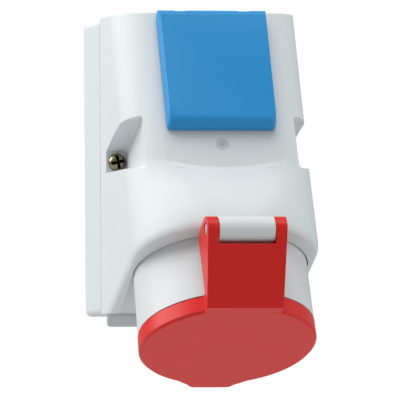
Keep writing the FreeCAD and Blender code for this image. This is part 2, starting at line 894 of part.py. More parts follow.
def make_red_lid():
    inner = barrel_half + hinge_side_play
    arm = cheek(inner, arm_half_top).fuse([cheek(-arm_half_top, -inner), arm_plate(), arm_root()])
    arm = arm.common(arm_envelope())
    hole = crossbar(hinge_pin_radius + hinge_play, -FAR, FAR, hinge_out, hinge_up)
    dish = crossbar(pin_dish_radius, arm_half_top - pin_dish_depth, FAR, hinge_out, hinge_up)
    lid = lid_shell().fuse(arm).cut([hole] + both_sides(dish))
    return tilted(lid.removeSplitter())


def make_red_lid_seal():
    outer = lid_inner_radius - play
    return tilted(turned([
        (outer - lid_seal_width, lid_skin), (outer, lid_skin),
        (outer, lid_skin + lid_seal_height), (outer - lid_seal_width, lid_skin + lid_seal_height),
    ]))


def make_red_lid_pin():
    half = arm_half_top - pin_dish_depth + pin_proud
    return tilted(crossbar(hinge_pin_radius, -half, half, hinge_out, hinge_up))


def make_red_lid_spring():
    start = -spring_pitch * spring_turns / 2 - spring_shift
    coil = coil_spring(spring_mean, spring_wire, spring_pitch, spring_turns, start, hinge_out, hinge_up)
    leg_out = hinge_out - spring_mean
    leg = Part.makeCylinder(spring_wire, hinge_up - spring_leg_up, point(start, leg_out, spring_leg_up))
    return tilted(coil.fuse(leg))


# Domestic socket


def cup_slots():
    """Two slots in the cup's floor for the earth clip and two round holes for the plug's pins."""
    slot = block(-clip_half - play, clip_half + play, 0, cup_floor_out + overcut,
                 clip_reach - clip_sheet - play, clip_reach + play)
    upper = slot.copy()
    upper.translate(Vector(0, 0, insert_centre_up))
    lower = slot.copy()
    lower.translate(Vector(0, 0, insert_centre_up - 2 * clip_reach + clip_sheet))
    holes = [peg(pin_hole, 0, FAR, x, insert_centre_up) for x in (-pin_spacing / 2, pin_spacing / 2)]
    centre = peg(centre_screw_radius + play, 0, FAR, 0, insert_centre_up)
    return [upper, lower, centre] + holes


def guide_ribs():
    outer = cup_radius + cup_wall / 2
    rib = block(cup_radius - guide_rib_height, outer, cup_floor_out, insert_front_out - guide_rib_step,
                insert_centre_up - guide_rib_half, insert_centre_up + guide_rib_half)
    return both_sides(rib)


def blue_lugs():
    """The two ears at the top of the insert that hold the blue lid's pin."""
    tongue = block(blue_lug_inner, blue_lug_outer, insert_under_out, insert_front_out,
                   insert_high_up - overcut, blue_pin_up + blue_lug_over)
    head = crossbar(blue_lug_radius, blue_lug_inner, blue_lug_outer, blue_pin_out, blue_pin_up)
    stem = block(blue_lug_inner, blue_lug_outer, insert_under_out, blue_pin_out,
                 blue_pin_up - blue_lug_radius, blue_pin_up + blue_lug_over)
    return both_sides(tongue.fuse([head, stem]))


def make_domestic_insert():
    flange = plate(insert_half, insert_low_up, insert_high_up, insert_corner, insert_under_out,
                   insert_front_out)
    cup = peg(cup_radius + cup_wall, cup_back_out, insert_front_out, 0, insert_centre_up)
    recess = peg(cup_radius, cup_floor_out, FAR, 0, insert_centre_up)
    body = flange.fuse(cup).cut(recess).fuse(guide_ribs() + blue_lugs())
    screws = [peg(insert_screw_radius + screw_play, 0, FAR, x, up) for x, up in insert_screw_places()]
    pin = crossbar(blue_pin_radius + pin_fit, -FAR, FAR, blue_pin_out, blue_pin_up)
    return tilted(body.cut(cup_slots() + screws + [pin]).removeSplitter())


def make_domestic_gasket():
    sheet = plate(insert_half, insert_low_up, insert_high_up, insert_corner, field_out, insert_under_out)
    hole = peg(cup_radius + cup_wall + cup_play, 0, FAR, 0, insert_centre_up)
    screws = [peg(insert_screw_radius + screw_play, 0, FAR, x, up) for x, up in insert_screw_places()]
    return tilted(sheet.cut([hole] + screws))


def make_domestic_screws():
    screw = pan_screw(insert_screw_head, insert_screw_head_height, insert_screw_radius, insert_screw_length)
    placed = [tilted(screw_out(screw, x, insert_front_out, up)) for x, up in insert_screw_places()]
    return Part.makeCompound(placed)


def make_domestic_carrier():
    """The moulding behind the cup that holds the contacts, with a groove for the earth clip."""
    body = peg(rear_radius, rear_back_out, cup_back_out, 0, insert_centre_up)
    groove = block(-clip_half - play, clip_half + play, cup_back_out - clip_sheet - play,
                   cup_back_out + overcut, insert_centre_up - FAR, insert_centre_up + FAR)
    bores = [peg(rear_contact_radius + hinge_play, rear_back_out - overcut, FAR, x, insert_centre_up)
             for x in (-pin_spacing / 2, pin_spacing / 2)]
    centre = peg(centre_screw_radius + hinge_play, cup_back_out - centre_screw_length, FAR, 0,
                 insert_centre_up)
    return tilted(body.cut([groove, centre] + bores))


def make_domestic_contacts():
    front = cup_back_out - rear_contact_front_gap
    back = front - rear_contact_length
    pair = []
    for x in (-pin_spacing / 2, pin_spacing / 2):
        body = peg(rear_contact_radius, back, front, x, insert_centre_up)
        socket = peg(rear_contact_bore, front - rear_contact_bore_depth, FAR, x, insert_centre_up)
        thread = peg(rear_screw_radius + hinge_play, back - overcut, back + rear_screw_length, x,
                     insert_centre_up)
        pair.append(tilted(body.cut([socket, thread])))
    return Part.makeCompound(pair)


def make_domestic_terminal_screws():
    back = cup_back_out - rear_contact_front_gap - rear_contact_length
    pair = []
    for x in (-pin_spacing / 2, pin_spacing / 2):
        head = peg(rear_screw_head, back - rear_screw_head_height, back, x, insert_centre_up)
        shank = peg(rear_screw_radius, back, back + rear_screw_length - play, x, insert_centre_up)
        pair.append(tilted(head.fuse(shank)))
    return Part.makeCompound(pair)


def make_earth_clip():
    """A bent brass strip: a bar behind the cup's floor and a sprung leg at the top and the bottom."""
    bar_front = cup_back_out - play / 2
    bar_back = bar_front - clip_sheet
    tip = cup_floor_out + clip_rise
    bar = block(-clip_half, clip_half, bar_back, bar_front, insert_centre_up - clip_reach,
                insert_centre_up + clip_reach)
    leg = [
        (bar_back, clip_reach - clip_sheet), (bar_back, clip_reach), (tip - clip_neck, clip_reach),
        (tip - clip_nose, clip_reach - clip_bend), (tip, clip_reach - clip_bend / 2),
        (tip, clip_reach - clip_bend / 2 - clip_sheet),
        (tip - clip_nose, clip_reach - clip_bend - clip_sheet),
        (tip - clip_neck, clip_reach - clip_sheet),
    ]
    upper = side_prism([(out, insert_centre_up + rise) for out, rise in leg], -clip_half, clip_half)
    lower = side_prism([(out, insert_centre_up - rise) for out, rise in leg], -clip_half, clip_half)
    hole = peg(centre_screw_radius + play, 0, FAR, 0, insert_centre_up)
    return tilted(bar.fuse([upper, lower]).cut(hole).removeSplitter())


def make_domestic_centre_screw():
    length = cup_floor + centre_screw_length - play
    screw = pan_screw(centre_screw_head, centre_screw_head_height, centre_screw_radius, length)
    return tilted(screw_out(screw, 0, cup_floor_out, insert_centre_up))


# Blue lid


def blue_outside():
    """A drafted cap, rounded round the hinge pin at its top end."""
    sections = []
    for step in range(blue_edge_sections):
        angle = math.pi / 2 * step / (blue_edge_sections - 1)
        rise = math.sin(angle)
        turn = 1 - math.cos(angle)
        corner = blue_corner + (blue_face_corner - blue_corner) * turn
        out = blue_back_out + (blue_front_out - blue_back_out) * rise
        sections.append(plate_wire(blue_half - blue_draft * turn, blue_low_up + blue_low_draft * turn,
                                   blue_high_up + blue_overrun, corner, blue_top_corner, out))
    cap = Part.makeLoft(sections, True, False)
    below_pin = block(-FAR, FAR, -FAR, FAR, 0, blue_pin_up)
    rounded_end = crossbar(blue_end_radius, -FAR / 2, FAR / 2, blue_pin_out, blue_pin_up)
    return cap.common(below_pin.fuse(rounded_end))


def blue_hollow():
    """The room under the lid, up to the hinge."""
    half = blue_half - blue_skin
    low = blue_low_up + blue_skin
    roof = blue_front_out - blue_skin
    corner = blue_face_corner - blue_skin
    return Part.makeLoft([
        plate_wire(half, low, blue_pin_up, corner, blue_top_corner, blue_back_out - overcut),
        plate_wire(half - blue_draft, low + blue_low_draft, blue_pin_up, corner, blue_top_corner, roof),
    ], True, True)


def blue_hinge_rooms():
    """Rooms for the spring and for the insert's ears, with notches so that the lid can swing."""
    roof = blue_front_out - blue_skin
    reach = blue_pin_up - blue_end_radius - overcut
    spring = crossbar(blue_room_radius, -blue_spring_half, blue_spring_half, blue_pin_out, blue_pin_up)
    spring_mouth = block(-blue_spring_half, blue_spring_half, 0, blue_pin_out + blue_spring_notch,
                         reach, FAR)
    below = block(-blue_spring_half, blue_spring_half, 0, roof, reach, blue_pin_up)
    rooms = [spring, spring_mouth, below]
    inner = blue_lug_inner - play
    outer = blue_lug_outer + play
    for sign in (-1, 1):
        x0, x1 = sorted((sign * inner, sign * outer))
        rooms.append(crossbar(blue_room_radius, x0, x1, blue_pin_out, blue_pin_up))
        rooms.append(block(x0, x1, 0, blue_pin_out + blue_ear_notch, reach, FAR))
        rooms.append(block(x0, x1, 0, roof, reach, blue_pin_up))
        rooms.append(block(x0, x1, 0, FAR, blue_pin_up + blue_top_notch, FAR))
    return rooms


def make_blue_lid():
    half = blue_half - blue_skin / 2 - blue_draft
    knuckle = crossbar(blue_knuckle_radius, -half, half, blue_pin_out, blue_pin_up)
    lid = blue_outside().cut(blue_hollow()).fuse(knuckle).cut(blue_hinge_rooms())
    pin = crossbar(blue_pin_radius + hinge_play, -blue_pin_half, blue_pin_half, blue_pin_out, blue_pin_up)
    return tilted(lid.cut(pin).removeSplitter())


def make_blue_lid_seal():
    roof = blue_front_out - blue_skin
    ring = peg(blue_seal_outer, insert_front_out + play, roof, 0, insert_centre_up)
    return tilted(ring.cut(peg(blue_seal_inner, 0, FAR, 0, insert_centre_up)))


def make_blue_lid_pin():
    half = blue_pin_half - play
    return tilted(crossbar(blue_pin_radius, -half, half, blue_pin_out, blue_pin_up))


def make_blue_lid_spring():
    start = -blue_spring_pitch * blue_spring_turns / 2
    coil = coil_spring(blue_spring_mean, blue_spring_wire, blue_spring_pitch, blue_spring_turns, start,
                       blue_pin_out, blue_pin_up)
    leg_out = blue_pin_out + blue_spring_mean
    leg_x = start + blue_spring_pitch * 3 / 4
    foot = point(leg_x, leg_out, blue_pin_up - blue_spring_leg)
    leg = Part.makeCylinder(blue_spring_wire, blue_spring_leg, foot)
    return tilted(coil.fuse(leg))


NODES = {
    "base": make_base,
    "rear_grommet": make_rear_grommet,
    "cover": make_cover,
    "cover_gasket": make_cover_gasket,
    "cover_screws": make_cover_screws,
    "socket_collar": make_socket_collar,
    "socket_gasket": make_socket_gasket,
    "socket_screws": make_socket_screws,
    "contact_carrier": make_contact_carrier,
    "phase_contacts": lambda: Part.makeCompound([contact(index) for index in (1, 2, 3)]),
    "neutral_contact": lambda: contact(4),
    "earth_contact": lambda: contact(0),
    "terminal_screws": make_terminal_screws,
    "red_lid": make_red_lid,
    "red_lid_seal": make_red_lid_seal,
    "red_lid_pin": make_red_lid_pin,
    "red_lid_spring": make_red_lid_spring,
    "domestic_insert": make_domestic_insert,
    "domestic_gasket": make_domestic_gasket,
    "domestic_screws": make_domestic_screws,
    "domestic_carrier": make_domestic_carrier,
    "domestic_contacts": make_domestic_contacts,
    "domestic_terminal_screws": make_domestic_terminal_screws,
    "earth_clip": make_earth_clip,
    "domestic_centre_screw": make_domestic_centre_screw,
    "blue_lid": make_blue_lid,
    "blue_lid_seal": make_blue_lid_seal,
    "blue_lid_pin": make_blue_lid_pin,
    "blue_lid_spring": make_blue_lid_spring,
}


def main():
    os.makedirs("parts", exist_ok=True)
    for name, make in NODES.items():
        shape = make()
        box = shape.BoundBox
        print(name, "solids", len(shape.Solids), "valid", shape.isValid(), "volume", round(shape.Volume, 1),
              "box", [round(v, 1) for v in (box.XMin, box.YMin, box.ZMin, box.XMax, box.YMax, box.ZMax)])
        shape.exportStep("parts/" + name + ".step")


main()
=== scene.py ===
"""Dress the wall socket: smooth moulded shells, procedural materials, small fittings, camera and light."""

import json
import math

import bmesh
import bpy
import numpy as np
from bpy.props import FloatProperty, FloatVectorProperty, PointerProperty
from mathutils import Matrix, Vector
from mathutils.bvhtree import BVHTree


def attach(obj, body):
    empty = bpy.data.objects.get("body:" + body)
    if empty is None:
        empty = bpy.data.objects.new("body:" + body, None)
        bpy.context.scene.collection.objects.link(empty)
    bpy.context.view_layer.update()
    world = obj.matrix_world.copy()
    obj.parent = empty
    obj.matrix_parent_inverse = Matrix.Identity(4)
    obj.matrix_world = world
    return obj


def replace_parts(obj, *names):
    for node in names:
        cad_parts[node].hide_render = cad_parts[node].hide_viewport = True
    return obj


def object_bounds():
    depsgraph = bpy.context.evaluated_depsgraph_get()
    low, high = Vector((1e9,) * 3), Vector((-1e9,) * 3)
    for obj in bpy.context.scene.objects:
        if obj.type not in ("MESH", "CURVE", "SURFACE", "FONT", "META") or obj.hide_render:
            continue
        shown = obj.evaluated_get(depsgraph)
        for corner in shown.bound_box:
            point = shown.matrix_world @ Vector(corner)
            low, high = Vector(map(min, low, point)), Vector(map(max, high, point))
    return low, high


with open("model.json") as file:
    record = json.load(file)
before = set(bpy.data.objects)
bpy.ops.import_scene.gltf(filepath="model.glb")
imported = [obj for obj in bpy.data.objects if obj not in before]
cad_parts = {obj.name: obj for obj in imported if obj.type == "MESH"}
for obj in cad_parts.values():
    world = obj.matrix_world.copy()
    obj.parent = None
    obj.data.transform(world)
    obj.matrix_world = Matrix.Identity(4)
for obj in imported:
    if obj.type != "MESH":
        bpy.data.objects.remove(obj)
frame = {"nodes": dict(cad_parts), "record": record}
CAD_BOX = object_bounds()

bl_info = {
    "name": "Wall socket dresser",
    "version": (1, 0, 0),
    "blender": (4, 5, 0),
    "location": "View3D > Sidebar > Wall socket",
    "description": "Shells, finishes, camera and light for a combination wall socket",
    "category": "Object",
}

# The industrial socket's frame, in metres: "up" runs along its axis and "out" is square to the panel
TILT = math.radians(23.57)
LID_FACE_OUT = 0.1159
LID_FACE_UP = -0.0892

# The field under the blue lid: its plane, its lower arc and the mark left by the moulding gate
FIELD_OUT = 0.0310
FIELD_HALF = 0.0280
ARC_MID_UP = 0.0787
ARC_RISE = 0.0039
PIT_UP = 0.0897
PIT_RADIUS = 0.0031
PIT_DEPTH = 0.0004
MARK_UP = 0.0922
MARK_RADIUS = 0.0034

# The ledge: its slope, how far its rise reaches above and below the arc, and the lengths over which it
# fades downwards and towards its ends
LEDGE_SLOPE = 0.6
LEDGE_ABOVE = 0.0013
LEDGE_BELOW = 0.0015
LEDGE_FADE = 0.0090
LEDGE_END = 0.0070

# The ledge's sheet: its reach above and below the arc, its rows and columns, the passes of smoothing,
# its margin beside the ledge, its lift off the moulding, the depth of its sunk border, and how far out
# the rays start that sample the moulding under it
SHEET_ABOVE = 0.0023
SHEET_BELOW = 0.0115
SHEET_ROWS = 105
SHEET_COLUMNS = 141
SHEET_PASSES = 6
SHEET_MARGIN = 0.0010
SHEET_LIFT = 0.00002
SHEET_SINK = 0.00010
SAMPLE_OUT = 0.08

# The gate mark's dish and the bead at its rim, each with its share of the radius
DISH_DEPTH = 0.00030
DISH_SHARE = 0.85
BEAD_HEIGHT = 0.00012
BEAD_SHARE = 0.2
MARK_LIFT = 0.00001
MARK_RINGS = 40
MARK_SPOKES = 96

# The band of the blue lid that reaches down to the lower edge seen in the photograph
LOW_BAND_UP = 0.1075
LOW_BAND = 0.0060
LOW_STRETCH = 0.0010

# The red lid's round edge, and how much of the grip's reach beyond it the photograph shows
LID_RADIUS = 0.0425
GRIP_SHARE = 0.5

# The cover screws: head and shank, the roundness of the head, and its cross as shares of the head's
# radius, of the bar's half width and of the head's height
SCREW_HEAD_HEIGHT = 0.0034
SCREW_SHANK_RADIUS = 0.0020
SCREW_RINGS = 70
SCREW_SPOKES = 180
HEAD_POWER = 2.8
CROSS_BAR = 0.185
CROSS_REACH = 0.76
CROSS_WALL = 0.2
CROSS_DEPTH = 0.62

# The side of each cover screw, its name and the turn of its cross in radians
COVER_SCREWS = ((-1, "cover_screw_left", 0.2), (1, "cover_screw_right", 0.9))

# Joined copies: how near two points are one, the angle under which faces are flat, and which edges soften
WELD = 2e-6
FLAT_ANGLE = math.radians(0.6)
SHARP_ANGLE = math.radians(38)
EDGE_SEGMENTS = 2
SHELLS = ("base", "cover", "socket_collar", "red_lid", "domestic_insert")
BODY_OF = {"red_lid": "red_lid_body", "blue_lid": "blue_lid_body"}

# Noise: features per metre, octaves, and the share that each finer octave keeps
CLOUD_SCALE = 28.0
CLOUD_DETAIL = 3.0
WEAR_SCALE = 900.0
POWDER_SCALE = 2500.0
FIBRE_SCALE = 40.0
NOISE_DETAIL = 4.0
NOISE_SHARE = 0.55

# Relief depths in metres
FINE_RELIEF = 0.00001
POWDER_RELIEF = 0.00002

# Moulded finishes: name, colour setting, roughness and its spread, spread of the tone, gloss
MOULDED = (
    ("Housing plastic", "housing", 0.6, 0.04, 0.012, 0.5),
    ("Collar plastic", "collar", 0.5, 0.04, 0.012, 0.5),
    ("Red plastic", "red", 0.34, 0.05, 0.05, 0.3),
    ("Blue plastic", "blue", 0.36, 0.05, 0.05, 0.25),
    ("Carrier plastic", "carrier", 0.5, 0.05, 0.05, 0.5),
)
PLASTIC_IOR = 1.5

# Metals: name, colour setting and roughness, then what all share: spread of the tone, how much smoother
# and rougher the scratches run, and the tone of the painted shade in the recesses
METALS = (("Machined brass", "brass", 0.3), ("Yellow zinc plate", "yellow_zinc", 0.26),
          ("Zinc plate", "zinc", 0.32))
METAL_SPREAD = 0.12
METAL_SMOOTHER = 0.08
METAL_ROUGHER = 0.10
RECESS_SHADE_TONE = 0.04

# Rubber: spread of the tone and the span of roughness
RUBBER_SPREAD = 0.25
RUBBER_ROUGHNESS = (0.6, 0.8)

# The gate mark from its pit to its rim: share of the radius and tone, then the span of roughness. The
# tones are painted shade: near black for the pit's shadow and grey for the hollow of the dish
MARK_SHADE_TONES = ((0.07, 0.06), (0.14, 0.66), (0.55, 0.74), (0.85, 0.80), (1.0, 0.96))
MARK_ROUGHNESS = (0.35, 0.5)

# The finish of each material slot, and of the gate mark
FINISH_OF = {
    "housing": "Housing plastic", "collar": "Collar plastic", "red_lid": "Red plastic",
    "blue_lid": "Blue plastic", "blue_insert": "Blue plastic", "carrier": "Carrier plastic",
    "rubber": "Black rubber", "brass": "Machined brass", "yellow_zinc": "Yellow zinc plate",
    "zinc_steel": "Zinc plate", "gate_mark": "Gate mark",
}

# The stage: the floor's half side and paper, then each light's name, place, size and setting
FLOOR_HALF = 4.0
PAPER = (0.72, 0.72, 0.72)
PAPER_SPREAD = 0.01
PAPER_ROUGHNESS = 0.9
WHITE = (1, 1, 1, 1)
LIGHT_AIM = (0, -0.06, 0)
LIGHTS = (
    ("top light", (-0.3, -0.8, 2.2), 2.2, "top"),
    ("side light", (-2.05, 0.63, 1.42), 2.4, "side"),
    ("fill light", (2.2, -0.6, 0.1), 2.2, "fill"),
)
SENSOR_WIDTH = 36.0
CLIP_END = 50.0


class MouldingSettings(bpy.types.PropertyGroup):
    """Edges and grain of the moulded plastic pieces."""

    edge: FloatProperty(name="Edge", default=0.0004, min=0.0, max=0.002, unit="LENGTH")
    lid_edge: FloatProperty(name="Blue lid's edge", default=0.0011, min=0.0, max=0.003, unit="LENGTH")
    grain: FloatProperty(name="Grain size", default=0.0007, min=0.0001, max=0.01, unit="LENGTH")
    relief: FloatProperty(name="Grain relief", default=0.00002, min=0.0, max=0.001, unit="LENGTH")


class FinishSettings(bpy.types.PropertyGroup):
    """Colours of the finishes, as linear values."""

    housing: FloatVectorProperty(name="Housing", subtype="COLOR", default=(0.668, 0.712, 0.726))
    collar: FloatVectorProperty(name="Collar", subtype="COLOR", default=(0.66, 0.69, 0.70))
    red: FloatVectorProperty(name="Red lid", subtype="COLOR", default=(0.68, 0.014, 0.011))
    blue: FloatVectorProperty(name="Blue lid", subtype="COLOR", default=(0.024, 0.282, 0.63))
    rubber: FloatVectorProperty(name="Rubber", subtype="COLOR", default=(0.03, 0.03, 0.03))
    carrier: FloatVectorProperty(name="Carrier", subtype="COLOR", default=(0.03, 0.03, 0.033))
    brass: FloatVectorProperty(name="Brass", subtype="COLOR", default=(0.78, 0.60, 0.28))
    # Painted dark reflection: the yellow zinc is set darker than the plating, standing in for dark
    # surroundings that the screw heads would mirror
    yellow_zinc: FloatVectorProperty(name="Yellow zinc", subtype="COLOR", default=(0.30, 0.27, 0.17))
    zinc: FloatVectorProperty(name="Zinc", subtype="COLOR", default=(0.80, 0.81, 0.82))


class StageSettings(bpy.types.PropertyGroup):
    """Camera and light."""

    azimuth: FloatProperty(name="Azimuth", default=-12.23)
    elevation: FloatProperty(name="Elevation", default=-2.41)
    roll: FloatProperty(name="Roll", default=0.42)
    distance: FloatProperty(name="Distance", default=5.18, min=0.5, unit="LENGTH")
    lens: FloatProperty(name="Lens", default=971.0, min=10.0)
    aim: FloatVectorProperty(name="Aim", default=(-0.00137, -0.0622, -0.01695), unit="LENGTH")
    sky: FloatProperty(name="Sky", default=0.37, min=0.0)
    top: FloatProperty(name="Top light", default=35.5, min=0.0)
    side: FloatProperty(name="Side light", default=57.0, min=0.0)
    fill: FloatProperty(name="Fill light", default=16.0, min=0.0)
    floor: FloatProperty(name="Floor below", default=0.9, min=0.0, unit="LENGTH")


# The socket's frame


def tilted_span(out, up):
    """The y and z in the row frame of places in the socket's frame, for numbers and for grids."""
    y = -(LID_FACE_OUT - math.sin(TILT) * up + math.cos(TILT) * out)
    z = LID_FACE_UP + math.cos(TILT) * up + math.sin(TILT) * out
    return y, z


def tilted_point(x, out, up):
    """A point of the socket's frame in the row frame."""
    return Vector((x, *tilted_span(out, up)))


# Shader building


def new_material(name):
    """An empty finish, its node tree and its shader."""
    material = bpy.data.materials.new(name)
    material.use_nodes = True
    tree = material.node_tree
    return material, tree, tree.nodes["Principled BSDF"]


def object_noise(tree, scale, detail=NOISE_DETAIL):
    """Noise in object coordinates."""
    coordinates = tree.nodes.new("ShaderNodeTexCoord")
    noise = tree.nodes.new("ShaderNodeTexNoise")
    noise.inputs["Scale"].default_value = scale
    noise.inputs["Detail"].default_value = detail
    noise.inputs["Roughness"].default_value = NOISE_SHARE
    tree.links.new(coordinates.outputs["Object"], noise.inputs["Vector"])
    return noise


def ramp(tree, source, low, high):
    """Map a 0 to 1 value onto the span from low to high."""
    node = tree.nodes.new("ShaderNodeMapRange")
    node.inputs["To Min"].default_value = low
    node.inputs["To Max"].default_value = high
    tree.links.new(source, node.inputs["Value"])
    return node.outputs["Result"]


def toned(colour, tone):
    """The colour times a tone, as an opaque shader colour."""
    return [min(1, channel * tone) for channel in colour] + [1]


def tint(tree, factor, colour, spread):
    """The colour, varied by its spread between a darker and a lighter tone."""
    mix = tree.nodes.new("ShaderNodeMix")
    mix.data_type = "RGBA"
    mix.inputs["A"].default_value = toned(colour, 1 - spread)
    mix.inputs["B"].default_value = toned(colour, 1 + spread)
    tree.links.new(factor, mix.inputs["Factor"])
    return mix.outputs["Result"]


def add_relief(tree, shader, height, depth):
    """Raise the surface by a height from 0 to 1, times the depth in metres."""
    bump = tree.nodes.new("ShaderNodeBump")
    bump.inputs["Distance"].default_value = depth
    tree.links.new(height, bump.inputs["Height"])
    tree.links.new(bump.outputs["Normal"], shader.inputs["Normal"])


def moulded(name, colour, roughness, roughness_spread, spread, gloss):
    """Injection-moulded plastic: fine spark-eroded grain, faint flow clouding and uneven gloss."""
    settings = bpy.context.scene.socket_moulding
    _, tree, shader = new_material(name)
    grain = object_noise(tree, 1 / settings.grain)
    cloud = object_noise(tree, CLOUD_SCALE, CLOUD_DETAIL).outputs["Fac"]
    tree.links.new(tint(tree, cloud, colour, spread), shader.inputs["Base Color"])
    tree.links.new(ramp(tree, cloud, roughness - roughness_spread, roughness + roughness_spread),
                   shader.inputs["Roughness"])
    add_relief(tree, shader, grain.outputs["Fac"], settings.relief)
    shader.inputs["IOR"].default_value = PLASTIC_IOR
    shader.inputs["Specular IOR Level"].default_value = gloss


def metal(name, colour, roughness):
    """Plated metal: fine scratches in the gloss, an uneven tone and painted shade that darkens the
    recesses nearly to black.
    """
    _, tree, shader = new_material(name)
    wear = object_noise(tree, WEAR_SCALE).outputs["Fac"]
    # Painted shade: where the recess attribute is 1, the colour turns nearly black, as deep in a screw's
    # cross
    recess = tree.nodes.new("ShaderNodeAttribute")
    recess.attribute_name = "recess"
    shaded_recess = tree.nodes.new("ShaderNodeMix")
    shaded_recess.data_type = "RGBA"
    shaded_recess.inputs["B"].default_value = toned(colour, RECESS_SHADE_TONE)
    tree.links.new(recess.outputs["Fac"], shaded_recess.inputs["Factor"])
    tree.links.new(tint(tree, wear, colour, METAL_SPREAD), shaded_recess.inputs["A"])
    tree.links.new(shaded_recess.outputs["Result"], shader.inputs["Base Color"])
    tree.links.new(ramp(tree, wear, roughness - METAL_SMOOTHER, roughness + METAL_ROUGHER),
                   shader.inputs["Roughness"])
    add_relief(tree, shader, wear, FINE_RELIEF)
    shader.inputs["Metallic"].default_value = 1.0


def elastomer(name, colour):
    """Soft rubber: matt, with a powdery grain."""
    _, tree, shader = new_material(name)
    grain = object_noise(tree, POWDER_SCALE).outputs["Fac"]
    tree.links.new(tint(tree, grain, colour, RUBBER_SPREAD), shader.inputs["Base Color"])
    tree.links.new(ramp(tree, grain, *RUBBER_ROUGHNESS), shader.inputs["Roughness"])
    add_relief(tree, shader, grain, POWDER_RELIEF)


def gate_mark_finish(name, colour):
    """The plastic round a sheared gate, with painted shade: grey over the dish and near black in the
    middle for the pit's shadow; the dish's grey is partly the gate's own burnished tone.
    """
    _, tree, shader = new_material(name)
    coordinates = tree.nodes.new("ShaderNodeTexCoord")
    reach = tree.nodes.new("ShaderNodeVectorMath")
    reach.operation = "DISTANCE"
    reach.inputs[1].default_value = tilted_point(0, FIELD_OUT, MARK_UP)
    tree.links.new(coordinates.outputs["Object"], reach.inputs[0])
    share = tree.nodes.new("ShaderNodeMapRange")
    share.inputs["From Max"].default_value = MARK_RADIUS
    tree.links.new(reach.outputs["Value"], share.inputs["Value"])
    # Painted shade: the ramp blackens the middle and greys the dish, rising to the field's tone at the rim
    tones = tree.nodes.new("ShaderNodeValToRGB")
    set_stops(tones.color_ramp.elements, colour, MARK_SHADE_TONES)
    tree.links.new(share.outputs["Result"], tones.inputs["Fac"])
    tree.links.new(tones.outputs["Color"], shader.inputs["Base Color"])
    grain = object_noise(tree, POWDER_SCALE).outputs["Fac"]
    tree.links.new(ramp(tree, grain, *MARK_ROUGHNESS), shader.inputs["Roughness"])
    add_relief(tree, shader, grain, FINE_RELIEF)


def set_stops(elements, colour, stops):
    """Turn a new colour ramp's two elements into the first and last stop, and add those between."""
    for element, (position, tone) in zip(elements, (stops[0], stops[-1])):
        element.position = position
        element.color = toned(colour, tone)
    for position, tone in stops[1:-1]:
        elements.new(position).color = toned(colour, tone)


def make_finishes():
    """Every finish, from the colour settings."""
    colours = bpy.context.scene.socket_finishes
    for name, setting, *values in MOULDED:
        moulded(name, getattr(colours, setting), *values)
    for name, setting, roughness in METALS:
        metal(name, getattr(colours, setting), roughness)
    elastomer("Black rubber", colours.rubber)
    gate_mark_finish("Gate mark", colours.housing)


def finish_for(slot):
    """The finish of a material slot. The first call makes them all."""
    if FINISH_OF[slot] not in bpy.data.materials:
        make_finishes()
    return bpy.data.materials[FINISH_OF[slot]]


def slot_of(node):
    """The material slot that the record gives a node."""
    for part in frame["record"]["subparts"]:
        if part["node"] == node:
            return part["material_slot"]
    raise KeyError(node)


# Meshes


def place(name, mesh, body, slot, finish=None):
    """Link a new piece, paint it and let it ride on its body."""
    piece = bpy.data.objects.new(name, mesh)
    bpy.context.scene.collection.objects.link(piece)
    piece.data.materials.clear()
    piece.data.materials.append(finish_for(finish or slot))
    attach(piece, body)
    return piece


def shell_copy(node, name, width):
    """A node's mesh with its loose triangles joined, its flat faces merged and its edges softened."""
    mesh = frame["nodes"][node].data.copy()
    mesh.name = name
    work = bmesh.new()
    work.from_mesh(mesh)
    bmesh.ops.remove_doubles(work, verts=work.verts, dist=WELD)
    bmesh.ops.dissolve_limit(work, angle_limit=FLAT_ANGLE, verts=work.verts, edges=work.edges)
    if node in CORRECTIONS:
        CORRECTIONS[node](work)
    work.to_mesh(mesh)
    work.free()
    if "custom_normal" in mesh.attributes:
        mesh.attributes.remove(mesh.attributes["custom_normal"])
    piece = place(name, mesh, BODY_OF.get(node, "root"), slot_of(node))
    piece.data.shade_smooth()
    edge = piece.modifiers.new("Edge", "BEVEL")
    edge.width = width
    edge.segments = EDGE_SEGMENTS
    edge.limit_method = "ANGLE"
    edge.angle_limit = SHARP_ANGLE
    edge.harden_normals = True
    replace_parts(piece, node)


def lift_pit(work):
    """Slide the gate mark's pit up the field to where the photograph shows it."""
    axis = Vector((0, -math.cos(TILT), math.sin(TILT)))
    centre = tilted_point(0, FIELD_OUT, PIT_UP)
    step = tilted_point(0, FIELD_OUT, MARK_UP) - centre
    for vertex in work.verts:
        offset = vertex.co - centre
        depth = offset.dot(axis)
        if abs(depth) < PIT_DEPTH and (offset - axis * depth).length < PIT_RADIUS:
            vertex.co += step


def stretch_low_edge(work):
    """Draw the blue lid's lower edge down along the field."""
    origin = tilted_point(0, 0, 0)
    upward = (tilted_point(0, 0, LOW_STRETCH) - origin).normalized()
    for vertex in work.verts:
        up = (vertex.co - origin).dot(upward)
        share = min(1, max(0, (LOW_BAND_UP - up) / LOW_BAND))
        vertex.co -= upward * LOW_STRETCH * share


def shorten_grip(work):
    """Draw the red lid's grip in towards the round edge."""
    outward = Vector((0, -math.cos(TILT), math.sin(TILT)))
    centre = tilted_point(0, 0, 0)
    for vertex in work.verts:
        out = (vertex.co - centre).dot(outward)
        if out < 0 and abs(vertex.co.x) < LID_RADIUS:
            beyond = -out - math.sqrt(LID_RADIUS ** 2 - vertex.co.x ** 2)
            vertex.co += outward * max(0, beyond) * (1 - GRIP_SHARE)


# What is corrected on a joined copy, by node
CORRECTIONS = {"cover": lift_pit, "red_lid": shorten_grip, "blue_lid": stretch_low_edge}


